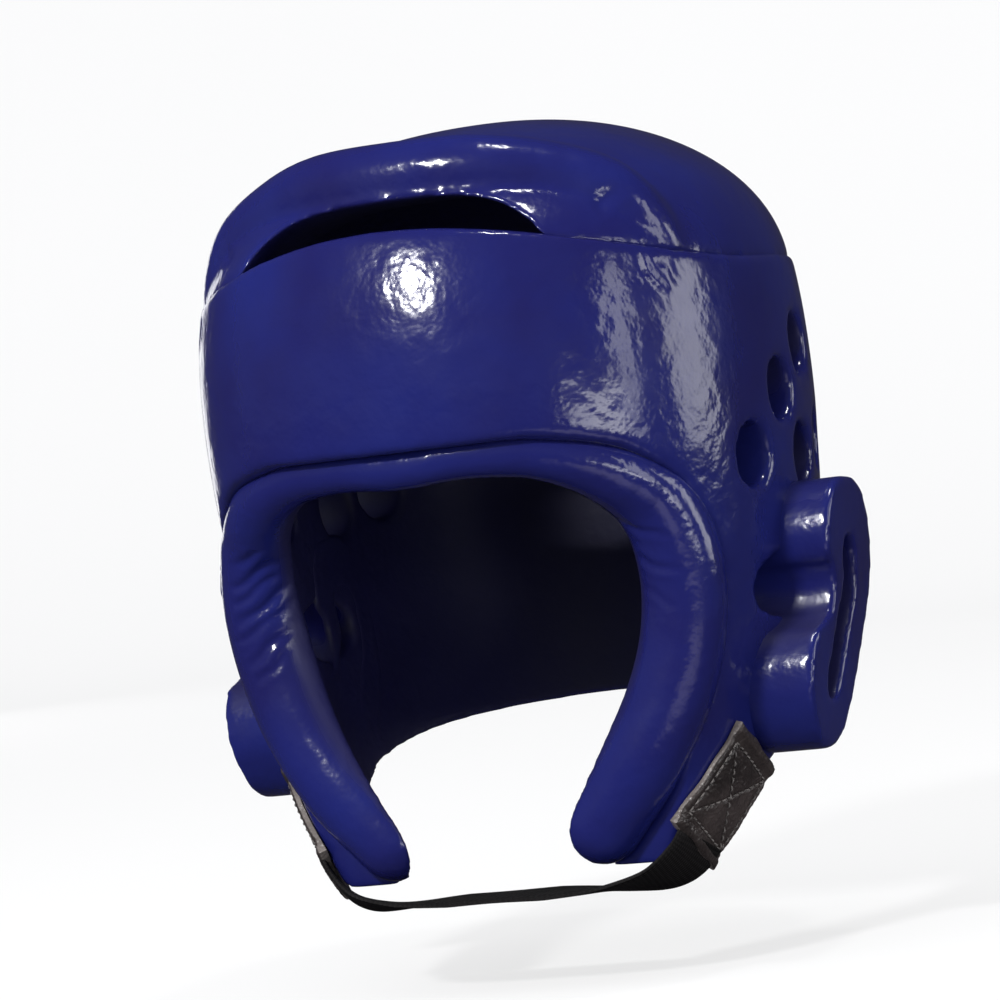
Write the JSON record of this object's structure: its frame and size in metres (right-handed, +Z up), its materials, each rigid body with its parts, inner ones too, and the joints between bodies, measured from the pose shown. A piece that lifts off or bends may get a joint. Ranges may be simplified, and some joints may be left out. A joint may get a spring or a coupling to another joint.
{
  "type": "sparring headgear",
  "caption": "Open-face sparring headgear of dipped foam: padded crown with front vent slot, band with side vents, rolled face rim, ear guards and chin strap.",
  "frame": {"origin": "inside of the crown at its top, where the headgear sits on the top of the head", "axes": "+Z up, -Y towards the front of the face, +X towards the wearer's left ear"},
  "size_m": [0.2352, 0.2466, 0.2732],
  "materials": {
    "dipped_foam": "high-gloss blue vinyl dip over foam",
    "leatherette": "crinkled satin black leatherette",
    "webbing": "brushed black woven webbing"
  },
  "bodies": {
    "root": {"crown_pad": "dipped_foam", "head_band": "dipped_foam", "cheek_roll": "dipped_foam", "ear_guard_left": "dipped_foam", "ear_guard_right": "dipped_foam", "strap_patch_left": "leatherette", "strap_patch_right": "leatherette", "chin_strap": "webbing"}
  },
  "joints": []
}
